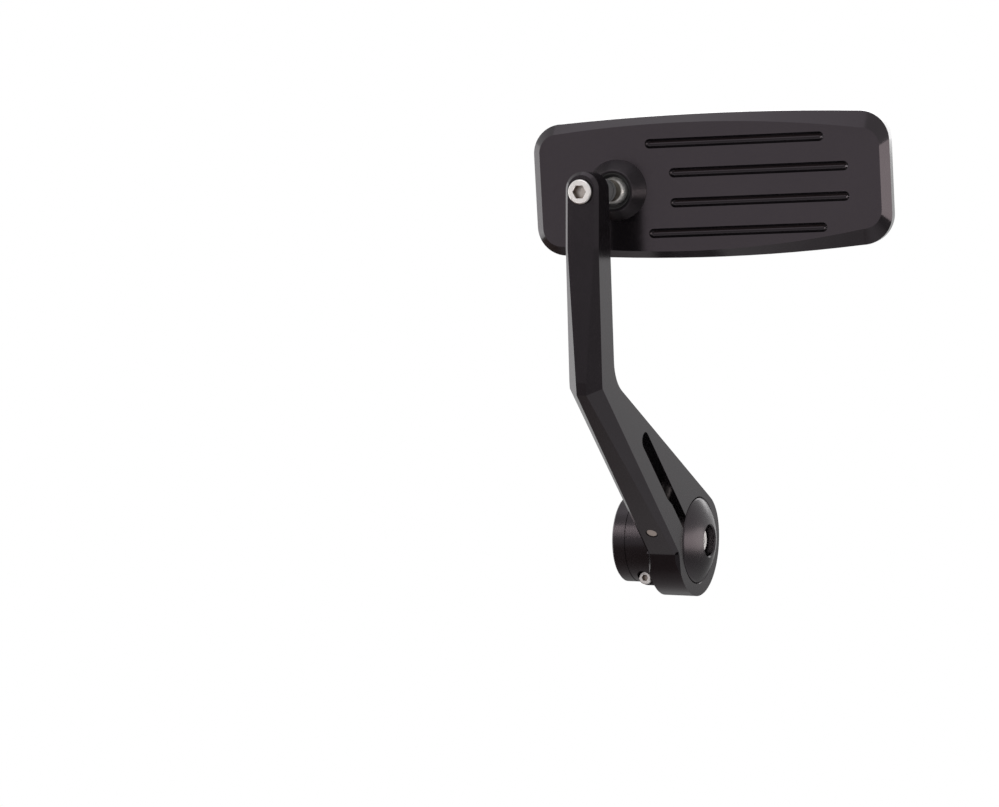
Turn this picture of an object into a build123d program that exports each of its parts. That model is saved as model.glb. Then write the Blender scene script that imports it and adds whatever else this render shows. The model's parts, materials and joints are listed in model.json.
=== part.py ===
# Bar end mirror: split bar collar, cranked arm, ball stud and mirror head.
# Frame: origin on the bar axis at the mouth of the collar, X outward along the bar,
# Z up, the back of the head faces -Y and the glass faces +Y.
import os
from math import acos, atan2, cos, hypot, radians, sin, sqrt

from build123d import *

os.makedirs("parts", exist_ok=True)

# Clearances, mm
RUN_GAP = 0.05      # radial, between parts that turn in each other
FACE_GAP = 0.2      # axial, between faces that turn past each other
SEAT_GAP = 0.02     # between parts of one body that sit on each other
THREAD_GAP = 0.02   # radial, screw in its tapped hole
HOLE_GAP = 0.15     # radial, screw in its plain hole
HEAD_GAP = 0.3      # radial, screw head in its counterbore
CUT = 1.0           # how far a cut runs past the face that it opens

# Bar and collar
BAR_D = 22.0
BAR_FIT = 0.1
COLLAR_STEP = 0.5   # collar over the hub
COLLAR_L = 17.5
COLLAR_EDGE = 0.6
BORE_R = BAR_D / 2 + BAR_FIT
BORE_L = 16.0
SLIT_W = 1.6
SLIT_L = 14.6
LINE_X = 5.9        # turned line round the collar
LINE_W = 0.5
LINE_D = 0.3

# Arm
ARM_T = 14.0
EYE_R = 23.3
EYE_WALL = 5.6      # round the hub
EYE_EDGE = 0.5      # chamfer of the eye's bore
BLEND_STEP = 5.4    # radius where the leg's back runs into the eye, under the eye's own
LEG_ANGLE = 39.4    # lower leg's front face above the horizontal
FRONT_STEP = 5.3    # lower leg's front face below the eye's round
BACK_STEP = 2.05    # lower leg's back face below the eye's round
REACH = 106.6       # upper leg's front face from the bar axis
STUD_Z = 142.9      # stud axis at the upper leg's front face
STUD_TILT = 2.0     # stud axis above the horizontal, toward the head
TOP_RISE = 0.9      # centre of the round top above the stud
TOP_DEPTH = 11.2    # upper leg, front to back at the stud
PAD_H = 7.0         # flat back pad below the stud
ELBOW_DEPTH = 17.3  # upper leg, front to back at the elbow
ELBOW_RISE = 4.35   # inner corner of the elbow above the outer one
BACK_FILLET = 14.5
NOSE_UP = 4.4       # small flat across the front of the elbow
NOSE_DOWN = 0.85
EDGE_TOP = 1.35     # chamfer round the front of the upper leg
FACET_HIGH = 4.9    # front facets above and below the elbow
FACET_LOW = 4.95
FACET_RUN = 72.0    # where the upper ones fade out, above the nose
FACET_EYE = 1.5     # lower ones where they reach the eye
FACET_TURN = 22.0   # and how far round the eye they fade out
FACET_LAP = 3.0     # how far neighbouring facets run into each other
FACET_CUT = (18.0, 10.0)

# Clamp slot of the arm, along and across its own line from the bar axis
SLOT_ANGLE = 41.0
SLOT_START = 8.0
SLOT_BACK = 1.1
SLOT_W = 5.6
SLOT_WIDE = 6.9
SLOT_STEP = (33.0, 38.5)
SLOT_END = 76.0

# Screws: thread radius, head radius, head height, hexagon across flats, its depth
SCREW_EDGE = 0.4
M3 = (1.5, 2.75, 3.0, 2.5, 1.5)
M5 = (2.5, 4.25, 5.0, 4.0, 2.5)
M6 = (3.0, 5.0, 6.0, 5.0, 3.0)
M6_LOW = (3.0, 4.8, 4.0, 5.0, 2.4)

# Pinch screw of the collar and the lug that it pulls together
PINCH_X = 11.4
PINCH_Z = -15.7
PINCH_SEAT = 6.5
PINCH_END = 8.0
PINCH_TAP = 14.0
LUG_R = 3.3
LUG_BACK = 7.3

# End cap
CAP_STEP = 0.1      # hub over the cap
CAP_RIM = 2.2
CAP_PROUD = 0.4
CAP_BULGE = 5.4
CAP_EDGE = 0.5
CAP_HOLE_R = 6.5
CAP_SCREW_DEEP = 4.0
CAP_WASHER_T = 1.4
CAP_TAIL_R = 12.4
CAP_TAIL_L = 7.0
WASHER_SPLIT = 0.8
SPLIT_TURN = 20

# Arm clamp screw, on the slot's line
CLAMP_S = 29.1
CLAMP_SEAT = -8.5
CLAMP_TIP = 0.3     # its end below the front face

# Stud
STUD_PROUD = 1.7
STUD_WASHER_T = 1.2
STUD_WASHER_R = 6.2
STUD_R = 4.75
STUD_EDGE = 0.4
STUD_GROOVE = (3.2, 0.7, 0.35)  # turned line: from the shank's end, width, depth
STUD_TAP_L = 9.0
STUD_TAP_TIP = 1.5
STUD_SCREW_SHORT = 0.8
NECK_R = 2.9
NECK_L = 9.8        # ball centre to the standoff's end
BALL_R = 6.0
STANDOFF = 22.6     # arm's back pad to the ball centre

# Ball socket, from the ball centre along the head's normal
LINER_T = 1.15
LINER_UP = 2.3
LINER_DOWN = 3.9
LIP_UP = 3.3
RIM_UP = 4.5
RING_R = 0.5
RIM_WALL = 0.9
RIM_EDGE = 0.3
CONE_STEP = 0.4     # straight foot of the cone
RIM_R = 8.4
CONE_R = 12.1
CUP_R = 9.5
CUP_TOP = -0.3
CUP_HOLE_R = 3.0
SPRING_T = 0.6
SPRING_W = 3.3
SPRING_GAP = 0.3
PLUG_T = 1.6
PLUG_HOLE_R = 1.2
PLUG_HOLE_AT = 5.5

# Head
HEAD_YAW = 9.0
HEAD_PITCH = 4.5
HEAD_ROLL = 1.95
BACK_DOWN = 3.0     # ball centre to the head's back face
HEAD_T = 10.0
CHAMFER_H = 4.0
HEAD_LEFT = -34.5
HEAD_RIGHT = 109.3
HEAD_HALF = 28.5
HEAD_END_HALF = 26.3
HEAD_UP = 0.25      # middle of the outline above the ball
END_UP = 0.7        # and its ends
HEAD_CORNER = 11.8
LEAST_CORNER = 1.0  # of a smaller outline inside it
FLAT_LEFT = -31.2
FLAT_RIGHT = 105.9
FLAT_HALF = 25.4
FLAT_LEFT_HALF = 22.4
FLAT_RIGHT_HALF = 19.8
FLAT_CORNER = 7.5
GROOVE_W = 3.8
GROOVE_L = 71.8
GROOVES = ((12.3, 17.8), (21.6, 5.95), (21.6, -5.95), (12.3, -17.8))
FRAME_W = 2.0       # rim round the glass
GLASS_T = 2.2
GLASS_GAP = 0.15
PAD_T = 0.8
PAD_MARGIN = 3.0
PAD_SLACK = 0.2

# Derived sizes and positions
HUB_R = EYE_R - EYE_WALL
COLLAR_R = HUB_R + COLLAR_STEP
CAP_R = HUB_R - CAP_STEP
LEG_FRONT = EYE_R - FRONT_STEP
BACK_FLAT = EYE_R - BACK_STEP
EYE_BLEND = EYE_R - BLEND_STEP
ARM_IN = COLLAR_L + FACE_GAP
ARM_OUT = ARM_IN + ARM_T
ARM_MID = ARM_IN + ARM_T / 2
CAP_FACE = ARM_OUT + CAP_PROUD
HUB_END = CAP_FACE - CAP_RIM - SEAT_GAP
CAP_TOP = CAP_FACE + CAP_BULGE
CAP_SEAT = CAP_TOP - CAP_SCREW_DEEP - M6[2] - CAP_WASHER_T
CAP_TAIL = CAP_FACE - CAP_RIM - CAP_TAIL_L
stud_a = radians(STUD_TILT)
STUD_WAY = Vector(0, cos(stud_a), sin(stud_a))
STUD_FRONT = Vector(ARM_MID, -REACH, STUD_Z)
BALL = STUD_FRONT + STUD_WAY * (TOP_DEPTH + STANDOFF)


def on_leg(angle, s, q):
    """Point (y, z): s up a line at this angle from the bar axis, q off it toward the front."""
    a = radians(angle)
    return (-s * cos(a) - q * sin(a), s * sin(a) - q * cos(a))


def leg_normal(angle):
    """Direction (y, z) out of the front of such a line."""
    return on_leg(angle, 0, 1)


def slot_point(s, q):
    return on_leg(SLOT_ANGLE, s, q)


def socket_screw(size, length):
    """Half section of a socket screw, head's underside at zero, shank toward minus."""
    r, head_r, head_h = size[:3]
    edge = SCREW_EDGE
    return [(0, -length), (r - edge, -length), (r, -length + edge), (r, 0), (head_r, 0),
            (head_r, head_h - edge), (head_r - edge, head_h), (0, head_h)]


yz_in = Plane.YZ.offset(ARM_IN)

# Split collar with the hub that carries the arm
with BuildPart() as bar_collar:
    with BuildSketch(Plane.YZ):
        Circle(COLLAR_R)
    extrude(amount=COLLAR_L)
    chamfer(bar_collar.edges().group_by(Axis.X)[0], COLLAR_EDGE)
    with BuildSketch(Plane.XZ.offset(PINCH_SEAT)):
        with Locations((PINCH_X, PINCH_Z)):
            Circle(LUG_R)
        with Locations(((PINCH_X + COLLAR_L) / 2, PINCH_Z - LUG_R / 2)):
            Rectangle(COLLAR_L - PINCH_X, LUG_R)
    extrude(amount=-(PINCH_SEAT + LUG_BACK))
    with BuildSketch(Plane.YZ.offset(LINE_X - LINE_W / 2)):
        Circle(COLLAR_R + CUT)
        Circle(COLLAR_R - LINE_D, mode=Mode.SUBTRACT)
    extrude(amount=LINE_W, mode=Mode.SUBTRACT)
    with BuildSketch(Plane.YZ.offset(COLLAR_L)):
        Circle(HUB_R)
    extrude(amount=HUB_END - COLLAR_L)
    with BuildSketch(Plane.YZ):
        Circle(BORE_R)
    extrude(amount=BORE_L, mode=Mode.SUBTRACT)
    with BuildSketch(Plane.YZ.offset(HUB_END)):
        Circle(CAP_TAIL_R + RUN_GAP)
    extrude(amount=-(HUB_END - CAP_TAIL + SEAT_GAP), mode=Mode.SUBTRACT)
    with BuildSketch(Plane.YZ.offset(BORE_L - CUT)):
        Circle(M6[0] + THREAD_GAP)
    extrude(amount=CAP_TAIL - BORE_L + CUT, mode=Mode.SUBTRACT)
    with BuildSketch(Plane.YZ):
        with Locations((0, PINCH_Z)):
            Rectangle(SLIT_W, 2 * (LUG_R + CUT))
    extrude(amount=SLIT_L, mode=Mode.SUBTRACT)
    with BuildSketch(Plane.XZ.offset(PINCH_SEAT)):
        with Locations((PINCH_X, PINCH_Z)):
            Circle(M3[1] + HEAD_GAP)
    extrude(amount=COLLAR_R, mode=Mode.SUBTRACT)
    with BuildSketch(Plane.XZ.offset(PINCH_SEAT + CUT)):
        with Locations((PINCH_X, PINCH_Z)):
            Circle(M3[0] + HOLE_GAP)
    extrude(amount=-(PINCH_SEAT + CUT), mode=Mode.SUBTRACT)
    with BuildSketch(Plane.XZ):
        with Locations((PINCH_X, PINCH_Z)):
            Circle(M3[0] + THREAD_GAP)
    extrude(amount=-PINCH_TAP, mode=Mode.SUBTRACT)
bar_collar.part.label = "bar_collar"
export_step(bar_collar.part, "parts/bar_collar.step")

# Pinch screw, head toward -Y
with BuildPart() as collar_screw:
    with BuildSketch(Plane((PINCH_X, -PINCH_SEAT - SEAT_GAP, PINCH_Z), (1, 0, 0), (0, 0, -1))):
        with BuildLine():
            Polyline(*socket_screw(M3, PINCH_SEAT + PINCH_END), close=True)
        make_face()
    revolve(axis=Axis((PINCH_X, 0, PINCH_Z), (0, 1, 0)))
    with BuildSketch(Plane.XZ.offset(PINCH_SEAT + SEAT_GAP + M3[2])):
        with Locations((PINCH_X, PINCH_Z)):
            RegularPolygon(M3[3] / 2, 6, major_radius=False)
    extrude(amount=-M3[4], mode=Mode.SUBTRACT)
collar_screw.part.label = "collar_screw"
export_step(collar_screw.part, "parts/collar_screw.step")

# Domed end cap with a tail in the hub
dome_edge = CAP_R - CAP_EDGE
dome_r = (dome_edge ** 2 + CAP_BULGE ** 2) / (2 * CAP_BULGE)
hole_edge = CAP_HOLE_R + CAP_EDGE


def dome_x(r):
    return CAP_TOP - dome_r + sqrt(dome_r ** 2 - r ** 2)


with BuildPart() as end_cap:
    with BuildSketch(Plane.XZ):
        with BuildLine():
            mid_r = (dome_edge + hole_edge) / 2
            Polyline((dome_x(hole_edge), hole_edge), (dome_x(hole_edge) - CAP_EDGE, CAP_HOLE_R),
                     (CAP_SEAT, CAP_HOLE_R), (CAP_SEAT, M6[0] + HOLE_GAP),
                     (CAP_TAIL, M6[0] + HOLE_GAP), (CAP_TAIL, CAP_TAIL_R),
                     (CAP_FACE - CAP_RIM, CAP_TAIL_R), (CAP_FACE - CAP_RIM, CAP_R),
                     (CAP_FACE - CAP_EDGE, CAP_R), (CAP_FACE, dome_edge))
            ThreePointArc((CAP_FACE, dome_edge), (dome_x(mid_r), mid_r),
                          (dome_x(hole_edge), hole_edge))
        make_face()
    revolve(axis=Axis.X)
end_cap.part.label = "end_cap"
export_step(end_cap.part, "parts/end_cap.step")

# Spring washer under the cap screw
with BuildPart() as cap_washer:
    with BuildSketch(Plane.YZ.offset(CAP_SEAT + SEAT_GAP)):
        Circle((M6[1] + CAP_HOLE_R) / 2)
        Circle(M6[0] + HOLE_GAP, mode=Mode.SUBTRACT)
        with Locations((0, M6[1])):
            Rectangle(WASHER_SPLIT, CAP_HOLE_R, rotation=SPLIT_TURN, mode=Mode.SUBTRACT)
    extrude(amount=CAP_WASHER_T - 2 * SEAT_GAP)
cap_washer.part.label = "cap_washer"
export_step(cap_washer.part, "parts/cap_washer.step")

# Cap screw, head toward +X
with BuildPart() as cap_screw:
    with BuildSketch(Plane((CAP_SEAT + CAP_WASHER_T, 0, 0), (0, 0, 1), (0, 1, 0))):
        with BuildLine():
            Polyline(*socket_screw(M6, CAP_SEAT + CAP_WASHER_T - BORE_L - SCREW_EDGE), close=True)
        make_face()
    revolve(axis=Axis.X)
    with BuildSketch(Plane.YZ.offset(CAP_SEAT + CAP_WASHER_T + M6[2])):
        RegularPolygon(M6[3] / 2, 6, major_radius=False)
    extrude(amount=-M6[4], mode=Mode.SUBTRACT)
cap_screw.part.label = "cap_screw"
export_step(cap_screw.part, "parts/cap_screw.step")

# Arm: side outline, front facets, bore, slot and holes
leg_a = radians(LEG_ANGLE)
leg_n = leg_normal(LEG_ANGLE)
slot_n = leg_normal(SLOT_ANGLE)
top_z = STUD_Z + TOP_RISE
crown_z = top_z + ARM_T / 2
pad_at = STUD_FRONT + STUD_WAY * TOP_DEPTH
pad_slope = -STUD_WAY.Z / STUD_WAY.Y
pad_top = (pad_at.Y + pad_slope * (crown_z - pad_at.Z), crown_z)
pad_low = (pad_at.Y - pad_slope * PAD_H, pad_at.Z - PAD_H)
elbow_s = (REACH - LEG_FRONT * sin(leg_a)) / cos(leg_a)
elbow = on_leg(LEG_ANGLE, elbow_s, LEG_FRONT)
nose_up = (-REACH, elbow[1] + NOSE_UP)
nose_down = on_leg(LEG_ANGLE, elbow_s - NOSE_DOWN, LEG_FRONT)
nose_n = Vector(nose_down[1] - nose_up[1], -(nose_down[0] - nose_up[0])).normalized()
back_corner = (-REACH + ELBOW_DEPTH, elbow[1] + ELBOW_RISE)
flat_a = atan2(back_corner[1], back_corner[0]) - acos(BACK_FLAT / hypot(*back_corner))
eye_back_a = flat_a - acos(BACK_FLAT / EYE_R)
eye_back = (EYE_R * cos(eye_back_a), EYE_R * sin(eye_back_a))
eye_front = on_leg(LEG_ANGLE, sqrt(EYE_R ** 2 - LEG_FRONT ** 2), LEG_FRONT)
eye_front_a = atan2(eye_front[1], eye_front[0])
eye_mid_a = (eye_back_a + eye_front_a) / 2
eye_mid = (EYE_R * cos(eye_mid_a), EYE_R * sin(eye_mid_a))
fade_a = eye_front_a + radians(FACET_TURN)
fade = (EYE_R * cos(fade_a), EYE_R * sin(fade_a))
fade_n_a = (eye_front_a + fade_a) / 2


def facet(a, ca, b, cb, normal, side, run_a, run_b):
    """Plane of a front facet from a to b and the length of the cut made on it.

    a and b lie on the front face (y, z), ca and cb are the facet's legs there,
    side is +1 for the outer face and -1 for the inner one."""
    x_face = ARM_MID + side * ARM_T / 2
    out = Vector(0, normal[0], normal[1])
    a1 = Vector(x_face - side * ca, a[0], a[1])
    b1 = Vector(x_face - side * cb, b[0], b[1])
    a2 = Vector(x_face, a[0], a[1]) - out * ca
    along = (b1 - a1).normalized()
    z_dir = along.cross(a2 - a1).normalized()
    if z_dir.dot(out) < 0:
        z_dir = z_dir * -1
    full = (b1 - a1).length + run_a + run_b
    return Plane((a1 + a2) / 2 - along * run_a + along * (full / 2), along, z_dir), full


facet_cuts = []
for side in (1, -1):
    facet_cuts.append(facet(nose_up, FACET_HIGH, (-REACH, nose_up[1] + FACET_RUN), 0,
                            (-1, 0), side, FACET_LAP, 0))
    facet_cuts.append(facet(nose_down, FACET_LOW, eye_front, FACET_EYE, leg_n, side, FACET_LAP, 0))
    facet_cuts.append(facet(nose_down, FACET_LOW, nose_up, FACET_HIGH,
                            (nose_n.X, nose_n.Y), side, FACET_LAP, FACET_LAP))
    facet_cuts.append(facet(eye_front, FACET_EYE, fade, 0,
                            (cos(fade_n_a), sin(fade_n_a)), side, 0, 0))

stud_plane = Plane(STUD_FRONT, (1, 0, 0), STUD_WAY * -1)
clamp_plane = Plane((ARM_MID, *slot_point(CLAMP_S, 0)), (1, 0, 0), (0, *slot_n))
leg_turn = radians(LEG_ANGLE - SLOT_ANGLE)
clamp_front = (LEG_FRONT - CLAMP_S * sin(leg_turn)) / cos(leg_turn)

with BuildPart() as arm:
    with BuildSketch(yz_in) as side_view:
        with BuildLine():
            FilletPolyline(pad_low, back_corner, eye_back, radius=BACK_FILLET)
            ThreePointArc(eye_back, eye_mid, eye_front)
            Polyline(eye_front, nose_down, nose_up, (-REACH, crown_z), pad_top, pad_low)
        make_face()
        fillet(side_view.vertices().sort_by_distance((*eye_back, 0))[:1], EYE_BLEND)
    extrude(amount=ARM_T)
    with BuildSketch(Plane.XZ.offset(REACH + CUT)):
        with Locations((ARM_MID, crown_z)):
            Rectangle(ARM_T + 2 * CUT, ARM_T)
        with Locations((ARM_MID, top_z)):
            Circle(ARM_T / 2, mode=Mode.SUBTRACT)
    extrude(amount=-(TOP_DEPTH + ELBOW_DEPTH), mode=Mode.SUBTRACT)
    front_face = arm.faces().filter_by(Axis.Y).sort_by(Axis.Y)[0]
    chamfer(front_face.edges().sort_by(Axis.Z)[1:], EDGE_TOP)
    for cut_plane, cut_length in facet_cuts:
        with BuildSketch(cut_plane):
            Rectangle(cut_length, FACET_CUT[0])
        extrude(amount=FACET_CUT[1], mode=Mode.SUBTRACT)
    eye_bore = HUB_R + RUN_GAP
    mouth_r = eye_bore + EYE_EDGE + CUT
    with BuildSketch(Plane.XZ):
        with BuildLine():
            Polyline((ARM_IN - CUT, 0), (ARM_OUT + CUT, 0), (ARM_OUT + CUT, mouth_r),
                     (ARM_OUT - EYE_EDGE, eye_bore), (ARM_IN + EYE_EDGE, eye_bore),
                     (ARM_IN - CUT, mouth_r), close=True)
        make_face()
    revolve(axis=Axis.X, mode=Mode.SUBTRACT)
    slot_front = SLOT_BACK + SLOT_W
    slot_wide = SLOT_BACK + SLOT_WIDE
    end_r = SLOT_WIDE / 2
    with BuildSketch(yz_in):
        with BuildLine():
            Polyline(slot_point(SLOT_END - end_r, SLOT_BACK), slot_point(SLOT_START, SLOT_BACK),
                     slot_point(SLOT_START, slot_front), slot_point(SLOT_STEP[0], slot_front),
                     slot_point(SLOT_STEP[1], slot_wide), slot_point(SLOT_END - end_r, slot_wide))
            ThreePointArc(slot_point(SLOT_END - end_r, slot_wide),
                          slot_point(SLOT_END, SLOT_BACK + end_r),
                          slot_point(SLOT_END - end_r, SLOT_BACK))
        make_face()
    extrude(amount=ARM_T, mode=Mode.SUBTRACT)
    with BuildSketch(stud_plane.offset(STUD_PROUD - M6_LOW[2])):
        Circle(M6_LOW[1] + HEAD_GAP)
    extrude(amount=M6_LOW[2], mode=Mode.SUBTRACT)
    with BuildSketch(stud_plane):
        Circle(M6_LOW[0] + RUN_GAP)
    extrude(amount=-(TOP_DEPTH + CUT), mode=Mode.SUBTRACT)
    with BuildSketch(clamp_plane.offset(SLOT_BACK + CUT)):
        Circle(M5[0] + THREAD_GAP)
    extrude(amount=clamp_front, mode=Mode.SUBTRACT)
    with BuildSketch(clamp_plane.offset(CLAMP_SEAT - CUT)):
        Circle(M5[0] + HOLE_GAP)
    extrude(amount=SLOT_BACK + 2 * CUT - CLAMP_SEAT, mode=Mode.SUBTRACT)
    with BuildSketch(clamp_plane.offset(CLAMP_SEAT)):
        Circle(M5[1] + HEAD_GAP)
    extrude(amount=-ARM_T, mode=Mode.SUBTRACT)
arm.part.label = "arm"
export_step(arm.part, "parts/arm.step")

# Arm clamp screw across the slot, head on the back
with BuildPart() as arm_clamp_screw:
    head_side = Vector(0, -slot_n[0], -slot_n[1])
    seat = clamp_plane.offset(CLAMP_SEAT - SEAT_GAP)
    with BuildSketch(Plane(seat.origin, (1, 0, 0), Vector(1, 0, 0).cross(head_side))):
        with BuildLine():
            Polyline(*socket_screw(M5, clamp_front - CLAMP_TIP - CLAMP_SEAT), close=True)
        make_face()
    revolve(axis=Axis(clamp_plane.origin, clamp_plane.z_dir))
    with BuildSketch(seat.offset(-M5[2])):
        RegularPolygon(M5[3] / 2, 6, major_radius=False)
    extrude(amount=M5[4], mode=Mode.SUBTRACT)
arm_clamp_screw.part.label = "arm_clamp_screw"
export_step(arm_clamp_screw.part, "parts/arm_clamp_screw.step")

# Ball stud, and the screw and washer that hold it to the arm. Their half sections
# are drawn from the ball centre, across and toward the arm.
stud_half = Plane(BALL, (1, 0, 0), Vector(1, 0, 0).cross(STUD_WAY * -1))
stud_axis = Axis(BALL, STUD_WAY)
stud_end = STANDOFF - RUN_GAP - STUD_WASHER_T
tap_r = M6_LOW[0] + THREAD_GAP
tap_end = stud_end - STUD_TAP_L
line_at, line_w, line_d = STUD_GROOVE
line_up = NECK_L + line_at
neck_up = sqrt(BALL_R ** 2 - NECK_R ** 2)
with BuildPart() as ball_stud:
    with BuildSketch(stud_half):
        with BuildLine():
            Polyline((0, -BALL_R), (0, tap_end - STUD_TAP_TIP), (tap_r, tap_end), (tap_r, stud_end),
                     (STUD_R - STUD_EDGE, stud_end), (STUD_R, stud_end - STUD_EDGE), (STUD_R, line_up),
                     (STUD_R - line_d, line_up), (STUD_R - line_d, line_up - line_w),
                     (STUD_R, line_up - line_w), (STUD_R, NECK_L + STUD_EDGE),
                     (STUD_R - STUD_EDGE, NECK_L), (NECK_R, NECK_L), (NECK_R, neck_up))
            ThreePointArc((NECK_R, neck_up), (BALL_R, 0), (0, -BALL_R))
        make_face()
    revolve(axis=stud_axis)
ball_stud.part.label = "ball_stud"
export_step(ball_stud.part, "parts/ball_stud.step")

with BuildPart() as stud_washer:
    with BuildSketch(stud_plane.offset(-TOP_DEPTH - RUN_GAP)):
        Circle(STUD_WASHER_R)
        Circle(M6_LOW[0] + HOLE_GAP, mode=Mode.SUBTRACT)
    extrude(amount=-(STUD_WASHER_T - SEAT_GAP))
stud_washer.part.label = "stud_washer"
export_step(stud_washer.part, "parts/stud_washer.step")

screw_seat = STUD_PROUD - M6_LOW[2] + RUN_GAP
screw_half = Plane(STUD_FRONT - STUD_WAY * screw_seat, (1, 0, 0), stud_half.z_dir)
with BuildPart() as stud_screw:
    with BuildSketch(screw_half):
        with BuildLine():
            screw_end = TOP_DEPTH + STANDOFF + screw_seat - tap_end - STUD_SCREW_SHORT
            Polyline(*socket_screw(M6_LOW, screw_end), close=True)
        make_face()
    revolve(axis=stud_axis)
    with BuildSketch(stud_plane.offset(screw_seat + M6_LOW[2])):
        RegularPolygon(M6_LOW[3] / 2, 6, major_radius=False)
    extrude(amount=-M6_LOW[4], mode=Mode.SUBTRACT)
stud_screw.part.label = "stud_screw"
export_step(stud_screw.part, "parts/stud_screw.step")

# Head frame: u along the head, v up it, normal toward the arm
yaw, pitch, roll = radians(HEAD_YAW), radians(HEAD_PITCH), radians(HEAD_ROLL)
head_n = Vector(sin(yaw) * cos(pitch), -cos(yaw) * cos(pitch), -sin(pitch))
flat_u = Vector(cos(yaw), sin(yaw), 0)
head_u = flat_u * cos(roll) + head_n.cross(flat_u) * sin(roll)
head_v = head_n.cross(head_u)
head_plane = Plane(BALL, head_u, head_n)
half_plane = Plane(BALL, head_u, head_v * -1)
head_axis = Axis(BALL, head_n)
back = -BACK_DOWN
front = back - HEAD_T
floor = front + GLASS_T + PAD_T + PAD_SLACK
seat_r = BALL_R + 2 * RUN_GAP + LINER_T
liner_r = seat_r - RUN_GAP
cup_bottom = floor + PLUG_T + SPRING_T + SEAT_GAP
rim_groove_r = RIM_R - RIM_WALL
groove_r = GROOVE_W / 2
groove_k = groove_r * sqrt(0.5)


def outline(left, right, half_left, half_mid, half_right, corner, inset=0.0):
    """Closed outline of the head: straight ends, bowed long sides, round corners."""
    left, right = left + inset, right - inset
    mid = (left + right) / 2
    r = max(corner - inset, LEAST_CORNER)
    k = r * (1 - sqrt(0.5))
    lt, lb = END_UP + half_left - inset, END_UP - half_left + inset
    mt, mb = HEAD_UP + half_mid - inset, HEAD_UP - half_mid + inset
    rt, rb = END_UP + half_right - inset, END_UP - half_right + inset
    Line((left, lb + r), (left, lt - r))
    ThreePointArc((left, lt - r), (left + k, lt - k), (left + r, lt))
    ThreePointArc((left + r, lt), (mid, mt), (right - r, rt))
    ThreePointArc((right - r, rt), (right - k, rt - k), (right, rt - r))
    Line((right, rt - r), (right, rb + r))
    ThreePointArc((right, rb + r), (right - k, rb + k), (right - r, rb))
    ThreePointArc((right - r, rb), (mid, mb), (left + r, lb))
    ThreePointArc((left + r, lb), (left + k, lb + k), (left, lb + r))


HEAD_OUT = (HEAD_LEFT, HEAD_RIGHT, HEAD_END_HALF, HEAD_HALF, HEAD_END_HALF, HEAD_CORNER)
HEAD_FLAT = (FLAT_LEFT, FLAT_RIGHT, FLAT_LEFT_HALF, FLAT_HALF, FLAT_RIGHT_HALF, FLAT_CORNER)

with BuildPart() as head_housing:
    with BuildSketch(head_plane.offset(front)):
        with BuildLine():
            outline(*HEAD_OUT)
        make_face()
    extrude(amount=HEAD_T - CHAMFER_H)
    with BuildSketch(head_plane.offset(back - CHAMFER_H)):
        with BuildLine():
            outline(*HEAD_OUT)
        make_face()
    with BuildSketch(head_plane.offset(back)):
        with BuildLine():
            outline(*HEAD_FLAT)
        make_face()
    loft(ruled=True)
    with BuildSketch(head_plane.offset(front)):
        with BuildLine():
            outline(*HEAD_OUT, inset=FRAME_W)
        make_face()
    extrude(amount=floor - front, mode=Mode.SUBTRACT)
    for start_u, groove_v in GROOVES:
        groove_at = BALL + head_n * back + head_v * groove_v + head_u * start_u
        with BuildSketch(Plane(groove_at, head_u, head_n)):
            with BuildLine():
                Line((0, 0), (GROOVE_L, 0))
                ThreePointArc((GROOVE_L, 0), (GROOVE_L - groove_r + groove_k, groove_k),
                              (GROOVE_L - groove_r, groove_r))
                Line((GROOVE_L - groove_r, groove_r), (groove_r, groove_r))
                ThreePointArc((groove_r, groove_r), (groove_r - groove_k, groove_k), (0, 0))
            make_face()
        revolve(axis=Axis(groove_at, head_u), mode=Mode.SUBTRACT)
    with BuildSketch(half_plane):
        with BuildLine():
            Polyline((0, back - CUT), (CONE_R, back - CUT), (CONE_R, back + CONE_STEP),
                     (RIM_R, RIM_UP - RIM_EDGE), (RIM_R - RIM_EDGE, RIM_UP), (0, RIM_UP), close=True)
        make_face()
    revolve(axis=head_axis)
    with BuildSketch(half_plane):
        with BuildLine():
            lip_r = sqrt(seat_r ** 2 - LIP_UP ** 2)
            top_r = sqrt(seat_r ** 2 - CUP_TOP ** 2)
            mid_up = (LIP_UP + CUP_TOP) / 2
            Polyline((lip_r, LIP_UP), (rim_groove_r, LIP_UP), (rim_groove_r, RIM_UP + CUT),
                     (0, RIM_UP + CUT), (0, floor - CUT), (CUP_R, floor - CUT), (CUP_R, CUP_TOP),
                     (top_r, CUP_TOP))
            ThreePointArc((top_r, CUP_TOP), (sqrt(seat_r ** 2 - mid_up ** 2), mid_up), (lip_r, LIP_UP))
        make_face()
    revolve(axis=head_axis, mode=Mode.SUBTRACT)
head_housing.part.label = "head_housing"
export_step(head_housing.part, "parts/head_housing.step")

# Nylon shell between the ball and the socket
with BuildPart() as ball_liner:
    in_r = BALL_R + RUN_GAP
    up, down = LINER_UP, -LINER_DOWN
    with BuildSketch(half_plane):
        with BuildLine():
            ThreePointArc((sqrt(in_r ** 2 - up ** 2), up), (in_r, 0), (sqrt(in_r ** 2 - down ** 2), down))
            Line((sqrt(in_r ** 2 - down ** 2), down), (sqrt(liner_r ** 2 - down ** 2), down))
            ThreePointArc((sqrt(liner_r ** 2 - down ** 2), down), (liner_r, 0),
                          (sqrt(liner_r ** 2 - up ** 2), up))
            Line((sqrt(liner_r ** 2 - up ** 2), up), (sqrt(in_r ** 2 - up ** 2), up))
        make_face()
    revolve(axis=head_axis)
ball_liner.part.label = "ball_liner"
export_step(ball_liner.part, "parts/ball_liner.step")

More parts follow.
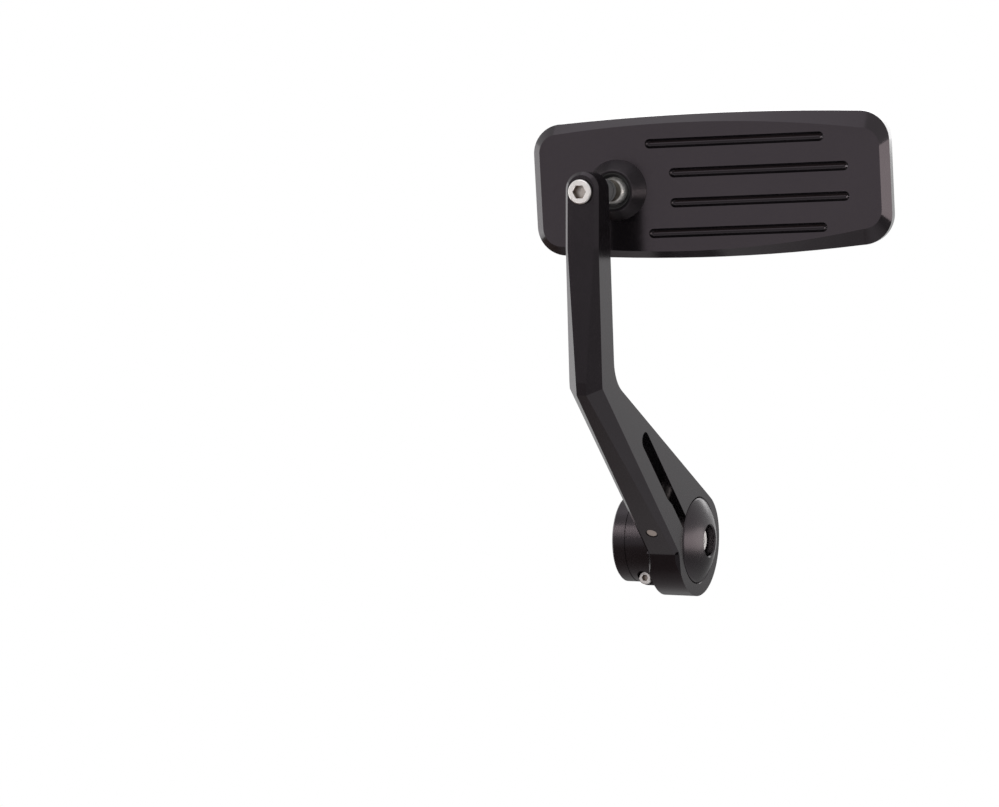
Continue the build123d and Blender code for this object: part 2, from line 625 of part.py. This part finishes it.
# Rubber ring in the mouth of the socket
with BuildPart() as dust_ring:
    with BuildSketch(half_plane):
        with Locations((rim_groove_r - RING_R - SEAT_GAP, LIP_UP + RING_R + SEAT_GAP)):
            Circle(RING_R)
    revolve(axis=head_axis)
dust_ring.part.label = "dust_ring"
export_step(dust_ring.part, "parts/dust_ring.step")

# Cup, spring and plug that press the liner into the socket from the glass side
with BuildPart() as pressure_cup:
    with BuildSketch(half_plane):
        with BuildLine():
            cup_edge = CUP_TOP - SEAT_GAP
            high_r = sqrt(seat_r ** 2 - cup_edge ** 2)
            low = -sqrt(seat_r ** 2 - CUP_HOLE_R ** 2)
            mid_low = (low + cup_edge) / 2
            Polyline((CUP_HOLE_R, low), (CUP_HOLE_R, cup_bottom), (CUP_R - RUN_GAP, cup_bottom),
                     (CUP_R - RUN_GAP, cup_edge), (high_r, cup_edge))
            ThreePointArc((high_r, cup_edge), (sqrt(seat_r ** 2 - mid_low ** 2), mid_low),
                          (CUP_HOLE_R, low))
        make_face()
    revolve(axis=head_axis)
pressure_cup.part.label = "pressure_cup"
export_step(pressure_cup.part, "parts/pressure_cup.step")

with BuildPart() as disc_spring:
    with BuildSketch(head_plane.offset(floor + PLUG_T + SEAT_GAP)):
        Circle(CUP_R - SPRING_GAP)
        Circle(CUP_R - SPRING_GAP - SPRING_W, mode=Mode.SUBTRACT)
    extrude(amount=SPRING_T - SEAT_GAP)
disc_spring.part.label = "disc_spring"
export_step(disc_spring.part, "parts/disc_spring.step")

with BuildPart() as socket_plug:
    with BuildSketch(head_plane.offset(floor)):
        Circle(CUP_R - THREAD_GAP)
        with Locations((-PLUG_HOLE_AT, 0), (PLUG_HOLE_AT, 0)):
            Circle(PLUG_HOLE_R, mode=Mode.SUBTRACT)
    extrude(amount=PLUG_T)
socket_plug.part.label = "socket_plug"
export_step(socket_plug.part, "parts/socket_plug.step")

# Adhesive pad and glass
with BuildPart() as glass_pad:
    with BuildSketch(head_plane.offset(floor - SEAT_GAP)):
        with BuildLine():
            outline(*HEAD_OUT, inset=FRAME_W + PAD_MARGIN)
        make_face()
    extrude(amount=-(PAD_T - 2 * SEAT_GAP))
glass_pad.part.label = "glass_pad"
export_step(glass_pad.part, "parts/glass_pad.step")

with BuildPart() as mirror_glass:
    with BuildSketch(head_plane.offset(floor - PAD_T)):
        with BuildLine():
            outline(*HEAD_OUT, inset=FRAME_W + GLASS_GAP)
        make_face()
    extrude(amount=-GLASS_T)
mirror_glass.part.label = "mirror_glass"
export_step(mirror_glass.part, "parts/mirror_glass.step")
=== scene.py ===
"""Looks for the bar end mirror: finishes, screw threads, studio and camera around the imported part."""

import json
import math

import bmesh
import bpy
from mathutils import Matrix, Vector


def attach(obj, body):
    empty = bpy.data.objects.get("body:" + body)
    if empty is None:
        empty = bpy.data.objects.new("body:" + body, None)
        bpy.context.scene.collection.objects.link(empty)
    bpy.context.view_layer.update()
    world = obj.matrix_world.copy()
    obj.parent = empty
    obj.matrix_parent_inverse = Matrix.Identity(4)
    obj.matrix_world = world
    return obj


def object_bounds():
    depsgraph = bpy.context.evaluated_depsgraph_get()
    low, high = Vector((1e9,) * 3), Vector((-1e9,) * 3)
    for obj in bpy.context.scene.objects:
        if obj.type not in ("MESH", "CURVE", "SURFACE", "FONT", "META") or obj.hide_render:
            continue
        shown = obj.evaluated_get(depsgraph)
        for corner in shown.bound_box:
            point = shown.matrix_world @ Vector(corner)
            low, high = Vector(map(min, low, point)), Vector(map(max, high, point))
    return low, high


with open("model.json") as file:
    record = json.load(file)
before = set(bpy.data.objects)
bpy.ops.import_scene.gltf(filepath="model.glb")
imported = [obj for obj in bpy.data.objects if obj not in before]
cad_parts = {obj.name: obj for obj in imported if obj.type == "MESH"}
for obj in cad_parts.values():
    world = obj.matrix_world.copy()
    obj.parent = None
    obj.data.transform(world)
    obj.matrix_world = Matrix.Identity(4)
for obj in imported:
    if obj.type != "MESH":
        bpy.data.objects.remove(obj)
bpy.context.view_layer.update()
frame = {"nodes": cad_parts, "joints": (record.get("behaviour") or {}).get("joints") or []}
nodes = frame["nodes"]
joints = {joint["name"]: joint for joint in frame["joints"]}
scene = bpy.context.scene
MM = 0.001
WHITE = (1, 1, 1)

# Places that the joints give
ARM_MID = joints["arm_swivel"]["pos_m"][0] / MM     # middle of the arm's thickness, along the bar
BALL = Vector(joints["head_pitch"]["pos_m"])        # centre of the ball, in metres
STUD_WAY = -Vector(joints["stud_spin"]["axis"])     # along the stud, toward the arm
PITCH_WAY = Vector(joints["head_pitch"]["axis"])
YAW_WAY = Vector(joints["head_yaw"]["axis"])
CONE_WAY = PITCH_WAY.cross(YAW_WAY)                 # along the cone round the ball, toward the arm

# Places that the joints don't give, in millimetres and degrees
SLOT_ANGLE = 41.0       # clamp slot's line above the horizontal
SLOT_SPAN = (1.1, 6.7)  # slot's back and front faces, off that line
CLAMP_S = 29.1          # clamp screw, up that line
PINCH = (11.4, -15.7)   # pinch screw, x and z


# Shader helpers

def material(name):
    """An empty node material with its tree, shader and output."""
    m = bpy.data.materials.new(name)
    m.use_nodes = True
    t = m.node_tree
    t.nodes.clear()
    out = t.nodes.new("ShaderNodeOutputMaterial")
    s = t.nodes.new("ShaderNodeBsdfPrincipled")
    t.links.new(s.outputs["BSDF"], out.inputs["Surface"])
    return m, t, s, out


def shader(m):
    """The tree and the shader of a finished material."""
    return m.node_tree, m.node_tree.nodes["Principled BSDF"]


def feeding(socket):
    """The socket that a linked one takes its value from."""
    return socket.links[0].from_socket


def feed(t, socket, source):
    """Fills a socket from another one, from a colour or from a plain number."""
    if isinstance(source, bpy.types.NodeSocket):
        t.links.new(source, socket)
    elif isinstance(source, tuple):
        socket.default_value = (*source, 1)
    else:
        socket.default_value = source


def math_node(t, operation, *sources):
    """One sum on sockets or plain numbers."""
    n = t.nodes.new("ShaderNodeMath")
    n.operation = operation
    for socket, source in zip(n.inputs, sources):
        feed(t, socket, source)
    return n.outputs["Value"]


def vector_node(t, operation, source, fixed=(0, 0, 0)):
    """One sum on a vector socket and a fixed vector."""
    n = t.nodes.new("ShaderNodeVectorMath")
    n.operation = operation
    t.links.new(source, n.inputs[0])
    n.inputs[1].default_value = fixed
    return n


def dot(t, source, way):
    """How far a vector reaches along a fixed way."""
    return vector_node(t, "DOT_PRODUCT", source, way).outputs["Value"]


def reach(t, source):
    """Length of a vector."""
    return vector_node(t, "LENGTH", source).outputs["Value"]


def own_place(t):
    """Place in a piece's own coordinates, in metres. For a CAD node these are the frame's, at rest."""
    return t.nodes.new("ShaderNodeTexCoord").outputs["Object"]


def from_ball(t):
    """Vector from the ball's centre, in metres."""
    return vector_node(t, "SUBTRACT", own_place(t), BALL).outputs["Vector"]


def mapped(t, source, span, to=(0.0, 1.0), interpolation="LINEAR"):
    """Turns a span of values into another one, and stays at its ends outside."""
    n = t.nodes.new("ShaderNodeMapRange")
    n.interpolation_type = interpolation
    n.inputs["From Min"].default_value, n.inputs["From Max"].default_value = span
    n.inputs["To Min"].default_value, n.inputs["To Max"].default_value = to
    t.links.new(source, n.inputs["Value"])
    return n.outputs["Result"]


def mixed(t, fac, a, b):
    """Colour a turning to colour b; either may be a socket or a plain colour."""
    n = t.nodes.new("ShaderNodeMixRGB")
    t.links.new(fac, n.inputs["Fac"])
    feed(t, n.inputs["Color1"], a)
    feed(t, n.inputs["Color2"], b)
    return n.outputs["Color"]


def mixed_shaders(t, fac, a, b, out):
    """Shows shader a turning to shader b."""
    n = t.nodes.new("ShaderNodeMixShader")
    t.links.new(fac, n.inputs["Fac"])
    t.links.new(a, n.inputs[1])
    t.links.new(b, n.inputs[2])
    t.links.new(n.outputs["Shader"], out.inputs["Surface"])


# Noise on the object's own coordinates in millimetres
NOISE_ROUGH = 0.55
NOISE_MIDDLE = (0.25, 0.75)     # the span of noise that roughness follows
DRIFT_MIDDLE = (0.3, 0.7)       # and the one that colour follows
EVEN = (1, 1, 1)


def noise(t, scale, detail, stretch=EVEN):
    """Noise with that many waves in a millimetre, stretched along the object's axes."""
    mapping = t.nodes.new("ShaderNodeMapping")
    mapping.inputs["Scale"].default_value = [s / MM for s in stretch]
    n = t.nodes.new("ShaderNodeTexNoise")
    n.inputs["Scale"].default_value = scale
    n.inputs["Detail"].default_value = detail
    n.inputs["Roughness"].default_value = NOISE_ROUGH
    t.links.new(own_place(t), mapping.inputs["Vector"])
    t.links.new(mapping.outputs["Vector"], n.inputs["Vector"])
    return n.outputs["Fac"]


def ramp(t, source, dark, pale):
    """Colour that follows a noise."""
    n = t.nodes.new("ShaderNodeValToRGB")
    for element, position, colour in zip(n.color_ramp.elements, DRIFT_MIDDLE, (dark, pale)):
        element.position = position
        element.color = (*colour, 1)
    t.links.new(source, n.inputs["Fac"])
    return n.outputs["Color"]


def bump(t, source, s, height, strength=1.0):
    """Small relief on a shader, its height in millimetres."""
    n = t.nodes.new("ShaderNodeBump")
    n.inputs["Strength"].default_value = strength
    n.inputs["Distance"].default_value = height * MM
    t.links.new(source, n.inputs["Height"])
    t.links.new(n.outputs["Normal"], s.inputs["Normal"])
    return n


# Finishes
DRIFT = 0.05            # slow waves of colour in a millimetre
GRAIN = 2.0             # machining grains in a millimetre
GRAIN_DETAIL = 3.0
GRAIN_STRENGTH = 0.5
SPECULAR = 0.5


def surface(name, dark, pale, rough, metallic, depth, grain=EVEN, grain_scale=GRAIN, specular=SPECULAR,
            drift=DRIFT):
    """Slow drift between two colours, and fine grain, its depth in millimetres, that roughness follows."""
    m, t, s, _ = material(name)
    s.inputs["Metallic"].default_value = metallic
    s.inputs["Specular IOR Level"].default_value = specular
    t.links.new(ramp(t, noise(t, drift, GRAIN_DETAIL), dark, pale), s.inputs["Base Color"])
    fine = noise(t, grain_scale, GRAIN_DETAIL, grain)
    t.links.new(mapped(t, fine, NOISE_MIDDLE, rough), s.inputs["Roughness"])
    bump(t, fine, s, depth, GRAIN_STRENGTH)
    return m


# Black anodised aluminium
DYE_DARK, DYE_PALE = (0.0042, 0.0036, 0.0042), (0.0066, 0.0056, 0.0064)
DYE_TINT = (1.0, 0.88, 0.96)    # faint violet of what it mirrors
DYE_GRAIN = 2.5


def anodised(name, rough, depth, grain, specular):
    """A dark dyed layer, brighter at a glancing angle, with a faint violet sheen."""
    m = surface(name, DYE_DARK, DYE_PALE, rough, metallic=0.0, depth=depth, grain=grain,
                grain_scale=DYE_GRAIN, specular=specular)
    _, s = shader(m)
    s.inputs["Specular Tint"].default_value = (*DYE_TINT, 1)
    return m


# Stud, with distances in millimetres from the ball's centre toward the arm
BALL_DARK, BALL_PALE = (0.38, 0.37, 0.35), (0.74, 0.72, 0.69)
BALL_DRIFT = 0.35
BALL_TO_NECK_REFLECTION = (3.9, 4.3)         # the ball's own colour up to here, then the neck's painted reflection
NECK_END = (9.6, 9.9)           # and here the shank starts, with its own painted reflection
# painted reflection colours: the neck mirroring the shank's dark end, and steel grey on the shank darkened
# as if it mirrored dark surroundings
NECK_PAINTED_REFLECTION, SHANK_STEEL_AND_REFLECTION = (0.060, 0.053, 0.042), (0.20, 0.20, 0.20)


def ball_steel(name):
    """Ball in its own colour, a painted brownish reflection of the shank on the neck, and a grey turned
    steel shank darkened by a painted reflection of its dark surroundings.
    """
    m = surface(name, BALL_DARK, BALL_PALE, rough=(0.30, 0.38), metallic=0.5, depth=0.002,
                grain=(0.3, 3, 0.3), drift=BALL_DRIFT)
    t, s = shader(m)
    colour = s.inputs["Base Color"]
    at = dot(t, from_ball(t), STUD_WAY / MM)
    # painted reflection on the neck, then steel grey with painted reflection on the shank
    neck = mixed(t, mapped(t, at, BALL_TO_NECK_REFLECTION), feeding(colour), NECK_PAINTED_REFLECTION)
    t.links.new(mixed(t, mapped(t, at, NECK_END), neck, SHANK_STEEL_AND_REFLECTION), colour)
    return m


# Cone round the ball, in millimetres
CONE_EDGE = (12.3, 12.5)        # its foot, from the ball's centre
CONE_ROUGH = 0.30
CONE_PITCH = 0.30               # lathe marks along its axis,
CONE_MARK = 0.017               # and their height


def turned_cone(m):
    """Lathe marks and a rougher finish on the cone than on the milled face beside it."""
    t, s = shader(m)
    milled_rough = feeding(s.inputs["Roughness"])
    milled_normal = feeding(s.inputs["Normal"])
    place = from_ball(t)
    on_cone = mapped(t, reach(t, place), [edge * MM for edge in CONE_EDGE], (1.0, 0.0))
    cone_rough = math_node(t, "MULTIPLY", on_cone, CONE_ROUGH)
    t.links.new(math_node(t, "MAXIMUM", milled_rough, cone_rough), s.inputs["Roughness"])
    turns = 2 * math.pi / (CONE_PITCH * MM)
    wave = math_node(t, "SINE", dot(t, place, CONE_WAY * turns))
    marks = bump(t, math_node(t, "MULTIPLY", wave, on_cone), s, CONE_MARK)
    t.links.new(milled_normal, marks.inputs["Normal"])


# Screw sockets: painted shade in their depth
SOCKET_REACH = 4.0              # how far a wall shades, in millimetres
SOCKET_OPEN = (0.35, 0.90)      # open share of the view from a point: full painted shade, then none
# colour of the painted shade in the sockets' depth
SOCKET_SHADE = (0.24, 0.20, 0.17)


def paint_socket_shade(m):
    """Darkens the depth of a screw's hexagon with painted shade, where its walls close round it."""
    t, s = shader(m)
    colour = s.inputs["Base Color"]
    n = t.nodes.new("ShaderNodeAmbientOcclusion")
    n.only_local = True
    n.inputs["Distance"].default_value = SOCKET_REACH * MM
    open_share = mapped(t, n.outputs["AO"], SOCKET_OPEN)
    # painted shade: the more the walls close round a point, the darker its colour
    t.links.new(mixed(t, open_share, SOCKET_SHADE, feeding(colour)), colour)


# The finishes; the black ones share their dye, and each other one gives its darkest and palest colour
head_black = anodised("head_black", rough=(0.12, 0.20), depth=0.005, grain=(0.06, 1, 1), specular=0.50)
turned_cone(head_black)
arm_black = anodised("arm_black", rough=(0.12, 0.20), depth=0.002, grain=(1, 0.2, 0.2), specular=0.45)
turned_black = anodised("turned_black", rough=(0.24, 0.30), depth=0.0005, grain=(1, 0.3, 0.3), specular=0.50)
steel = surface("steel", (0.72, 0.70, 0.68), (0.80, 0.78, 0.76),
                rough=(0.26, 0.38), metallic=1.0, depth=0.003)
# painted shade in the steel screws' sockets
paint_socket_shade(steel)
bright_steel = surface("bright_steel", (0.84, 0.83, 0.82), (0.90, 0.89, 0.88),
                       rough=(0.40, 0.50), metallic=0.4, depth=0.001)
dull_steel = surface("dull_steel", (0.54, 0.48, 0.44), (0.62, 0.55, 0.51),
                     rough=(0.30, 0.40), metallic=1.0, depth=0.003)
# ball stud, with painted reflection on its neck and shank
stud_steel = ball_steel("stud_steel")
zinc = surface("zinc", (0.42, 0.42, 0.41), (0.50, 0.50, 0.49),
               rough=(0.30, 0.42), metallic=1.0, depth=0.004, grain_scale=1.4)
nylon = surface("nylon", (0.014, 0.014, 0.014), (0.022, 0.022, 0.022),
                rough=(0.5, 0.6), metallic=0.0, depth=0.01)
rubber = surface("rubber", (0.008, 0.008, 0.008), (0.014, 0.014, 0.014),
                 rough=(0.55, 0.7), metallic=0.0, depth=0.01)
foam = surface("foam", (0.03, 0.03, 0.03), (0.05, 0.05, 0.05),
               rough=(0.8, 0.9), metallic=0.0, depth=0.04)
silver = surface("silver", (0.86, 0.88, 0.89), (0.90, 0.92, 0.93),
                 rough=(0.015, 0.03), metallic=1.0, depth=1e-6, grain_scale=0.2)

LOOKS = {
    "bar_collar": turned_black, "end_cap": turned_black, "arm": arm_black, "head_housing": head_black,
    "collar_screw": steel, "cap_screw": bright_steel, "arm_clamp_screw": dull_steel, "stud_screw": steel,
    "ball_stud": stud_steel, "cap_washer": zinc, "stud_washer": zinc, "disc_spring": zinc,
    "ball_liner": nylon, "dust_ring": rubber, "pressure_cup": zinc, "socket_plug": zinc,
    "glass_pad": foam, "mirror_glass": silver,
}
for name, obj in nodes.items():
    obj.data.materials.clear()
    obj.data.materials.append(LOOKS[name])

# Small edge breaks that catch the light: their widths in millimetres
EDGE_BREAKS = {"arm": 0.35, "head_housing": 0.3, "bar_collar": 0.25, "end_cap": 0.25}
EDGE_ANGLE = 28.0       # edges that turn by less stay as they are
EDGE_STEPS = 2
for name, width in EDGE_BREAKS.items():
    edge = nodes[name].modifiers.new("edge", "BEVEL")
    edge.width = width * MM
    edge.segments = EDGE_STEPS
    edge.limit_method = "ANGLE"
    edge.angle_limit = math.radians(EDGE_ANGLE)

# Screw threads, where a shank shows between two faces, in millimetres
M5, M3 = (2.5, 0.8), (1.5, 0.5)     # radius and pitch
RIDGE = 0.12                        # how far the ridge stands out of the shank,
RIDGE_SINK = 0.05                   # and how deep its foot is in it
FOOT, CREST = 0.42, 0.08            # half its width there and on top, in pitches
RIDGE_STEPS = 36                    # in one turn
RIDGE_FADE = 0.25                   # turns over which its ends rise
SLOT_CLEAR = 0.4                    # between the clamp screw's thread and the slot's faces
PINCH_THREAD = 1.0                  # length that shows in the collar's slit


def thread(name, body, start, way, screw, length):
    """Helical ridge on a shank: start on its axis, way along it."""
    radius, pitch = screw
    way = Vector(way).normalized()
    side = way.orthogonal().normalized()
    over = way.cross(side)
    bm = bmesh.new()
    rows = []
    count = round(length / pitch * RIDGE_STEPS)
    for i in range(count + 1):
        turn = i / RIDGE_STEPS
        out = side * math.cos(2 * math.pi * turn) + over * math.sin(2 * math.pi * turn)
        at = Vector(start) + way * (pitch * turn)
        top = RIDGE * min(1.0, min(i, count - i) / RIDGE_STEPS / RIDGE_FADE)
        profile = ((-RIDGE_SINK, -FOOT), (top, -CREST), (top, CREST), (-RIDGE_SINK, FOOT))
        points = [at + out * (radius + rise) + way * (pitch * along) for rise, along in profile]
        rows.append([bm.verts.new(point * MM) for point in points])
    for a, b in zip(rows, rows[1:]):
        for k in range(len(a)):
            after = (k + 1) % len(a)
            bm.faces.new((a[k], a[after], b[after], b[k]))
    bm.faces.new(rows[0])
    bm.faces.new(rows[-1])
    bmesh.ops.recalc_face_normals(bm, faces=bm.faces[:])
    mesh = bpy.data.meshes.new(name)
    bm.to_mesh(mesh)
    bm.free()
    mesh.materials.append(steel)
    obj = bpy.data.objects.new(name, mesh)
    scene.collection.objects.link(obj)
    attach(obj, body)


slot_a = math.radians(SLOT_ANGLE)
slot_along = Vector((0, -math.cos(slot_a), math.sin(slot_a)))
slot_out = Vector((0, -math.sin(slot_a), -math.cos(slot_a)))
slot_back, slot_front = SLOT_SPAN
clamp_start = Vector((ARM_MID, 0, 0)) + slot_along * CLAMP_S + slot_out * (slot_back + SLOT_CLEAR)
thread("clamp_thread", "arm", clamp_start, slot_out, M5, slot_front - slot_back - 2 * SLOT_CLEAR)
pinch_x, pinch_z = PINCH
thread("pinch_thread", "mount", (pinch_x, -PINCH_THREAD / 2, pinch_z), (0, 1, 0), M3, PINCH_THREAD)

# Floor, in metres: shows the shadow near the object and turns to plain white further out
FLOOR_R, FLOOR_SIDES = 1.2, 96
FLOOR_DROP = 0.25                   # below the part's lowest point
FLOOR_DARK, FLOOR_PALE = (0.88, 0.88, 0.88), (0.91, 0.91, 0.91)
FLOOR_DRIFT, FLOOR_DETAIL = 0.02, 2.0
FLOOR_ROUGH = 0.9
SHADOW_R = (0.10, 0.50)             # the shadow fades from here to here
FLOOR_FAR_R = (0.25, 0.55)          # in reflections the floor is lit inside and darker further out,
FLOOR_WAY = (-0.8, -0.6, 0.0)       # and it turns dim toward here,
FLOOR_TURN = (-0.05, 0.20)          # this far along that way
FLOOR_LIT, FLOOR_FAR, FLOOR_DIM = (0.66, 0.66, 0.66), (0.26, 0.26, 0.26), (0.15, 0.11, 0.10)


def ray_is(t, kind):
    """1 for rays of one kind."""
    return t.nodes.new("ShaderNodeLightPath").outputs[f"Is {kind} Ray"]


def seen(t):
    """1 for rays that show the surroundings: straight from the camera, mirrored or through glass."""
    straight_or_mirrored = math_node(t, "MAXIMUM", ray_is(t, "Camera"), ray_is(t, "Glossy"))
    return math_node(t, "MAXIMUM", straight_or_mirrored, ray_is(t, "Transmission"))


def floor_look():
    """A pale floor under the object, white further out, and pale to dim in reflections."""
    m, t, s, out = material("floor")
    pale = ramp(t, noise(t, FLOOR_DRIFT, FLOOR_DETAIL), FLOOR_DARK, FLOOR_PALE)
    t.links.new(pale, s.inputs["Base Color"])
    s.inputs["Roughness"].default_value = FLOOR_ROUGH
    place = own_place(t)
    distance = reach(t, place)
    glossy = ray_is(t, "Glossy")
    lit = mixed(t, mapped(t, distance, FLOOR_FAR_R), FLOOR_LIT, FLOOR_FAR)
    mirrored = mixed(t, mapped(t, dot(t, place, FLOOR_WAY), FLOOR_TURN), lit, FLOOR_DIM)
    plain = t.nodes.new("ShaderNodeEmission")
    plain.inputs["Strength"].default_value = 1.0
    t.links.new(mixed(t, glossy, WHITE, mirrored), plain.inputs["Color"])
    away = mapped(t, distance, SHADOW_R, interpolation="SMOOTHSTEP")
    shown = math_node(t, "MAXIMUM", math_node(t, "MULTIPLY", away, seen(t)), glossy)
    mixed_shaders(t, shown, s.outputs["BSDF"], plain.outputs["Emission"], out)
    return m


lo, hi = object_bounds()
middle = (lo + hi) / 2
floor_at = (middle.x, middle.y, lo.z - FLOOR_DROP)
bpy.ops.mesh.primitive_circle_add(vertices=FLOOR_SIDES, radius=FLOOR_R, fill_type="NGON", location=floor_at)
floor = bpy.context.object
floor.name = "floor"
floor.data.materials.append(floor_look())

# Studio: soft light on the object, and white where the camera sees it. In reflections it is pale on the
# side that the glass faces and dim on the other.
ROOM_COLOUR, ROOM_LIGHT = (0.95, 0.97, 1.0), 0.45
ROOM_WAY = (-0.10, -0.90, -0.43)    # from the object to the dim side
ROOM_TURN = (0.15, 0.65)            # how far along that way pale ends, and dim starts
RISE_WAY = (-0.12, 0.0, 1.0)        # on the pale side it is darker below the horizon than above,
ROOM_RISE = (-0.16, -0.05)          # and a little more so on the right
ROOM_LIT, ROOM_LOW, ROOM_DIM = (0.82, 0.82, 0.82), (0.38, 0.38, 0.38), (0.47, 0.46, 0.47)


def studio():
    """The world around the object."""
    world = bpy.data.worlds.new("studio")
    world.use_nodes = True
    t = world.node_tree
    t.nodes.clear()
    out = t.nodes.new("ShaderNodeOutputWorld")
    light = t.nodes.new("ShaderNodeBackground")
    light.inputs["Color"].default_value = (*ROOM_COLOUR, 1)
    light.inputs["Strength"].default_value = ROOM_LIGHT
    way = t.nodes.new("ShaderNodeTexCoord").outputs["Generated"]
    pale = mixed(t, mapped(t, dot(t, way, RISE_WAY), ROOM_RISE), ROOM_LOW, ROOM_LIT)
    mirrored = mixed(t, mapped(t, dot(t, way, ROOM_WAY), ROOM_TURN), pale, ROOM_DIM)
    plain = t.nodes.new("ShaderNodeBackground")
    plain.inputs["Strength"].default_value = 1.0
    t.links.new(mixed(t, ray_is(t, "Glossy"), WHITE, mirrored), plain.inputs["Color"])
    mixed_shaders(t, seen(t), light.outputs["Background"], plain.outputs["Background"], out)
    return world


scene.world = studio()

# Lamps, in metres and watts
LAMP_AIM = (0.03, -0.05, 0.08)


def lamp(name, place, size, power, colour=WHITE):
    """A soft rectangular lamp that looks at the object."""
    data = bpy.data.lights.new(name, "AREA")
    data.shape = "RECTANGLE"
    data.size, data.size_y = size
    data.energy = power
    data.color = colour
    obj = bpy.data.objects.new(name, data)
    scene.collection.objects.link(obj)
    obj.location = place
    obj.rotation_mode = "QUATERNION"
    obj.rotation_quaternion = (Vector(LAMP_AIM) - Vector(place)).to_track_quat("-Z", "Y")


lamp("side", (1.3, 0.30, -0.05), (1.5, 0.55), 8, (1.0, 0.93, 0.90))
lamp("front", (0.16, -1.63, -0.12), (0.9, 0.6), 1.1, (1.0, 0.95, 0.98))
lamp("top", (0.1, -0.1, 1.4), (1.6, 1.2), 3.5, (0.96, 0.93, 1.0))
lamp("front_left", (-0.9, -1.3, 0.6), (0.5, 0.7), 7, (1.0, 0.95, 0.93))
lamp("glint", (-1.30, -0.60, 0.40), (0.16, 0.22), 5)
lamp("left", (-1.2, 0.5, 0.1), (0.5, 0.8), 1.2)
lamp("rim", (-0.2, 1.2, 0.6), (1.2, 0.8), 5)

# Camera at the photograph's angle
FOCAL_PX, PHOTO_W = 3500.0, 999.0           # focal length and picture width in pixels
CAM_AZ, CAM_EL = 25.0, 2.242                # degrees
CAM_AT = (0.57138, -1.35374, 0.11397)       # metres
CAM_NEAR, CAM_FAR = 0.05, 20.0
cam = bpy.data.cameras.new("camera")
cam.lens = FOCAL_PX / PHOTO_W * cam.sensor_width
cam.clip_start, cam.clip_end = CAM_NEAR, CAM_FAR
cam_obj = bpy.data.objects.new("camera", cam)
scene.collection.objects.link(cam_obj)
scene.camera = cam_obj
az, el = math.radians(CAM_AZ), math.radians(CAM_EL)
back = Vector((math.sin(az) * math.cos(el), -math.cos(az) * math.cos(el), math.sin(el)))
right = Vector((math.cos(az), math.sin(az), 0))
up = back.cross(right)
cam_obj.matrix_world = Matrix.Translation(CAM_AT) @ Matrix((right, up, back)).transposed().to_4x4()

scene.view_settings.view_transform = "Standard"
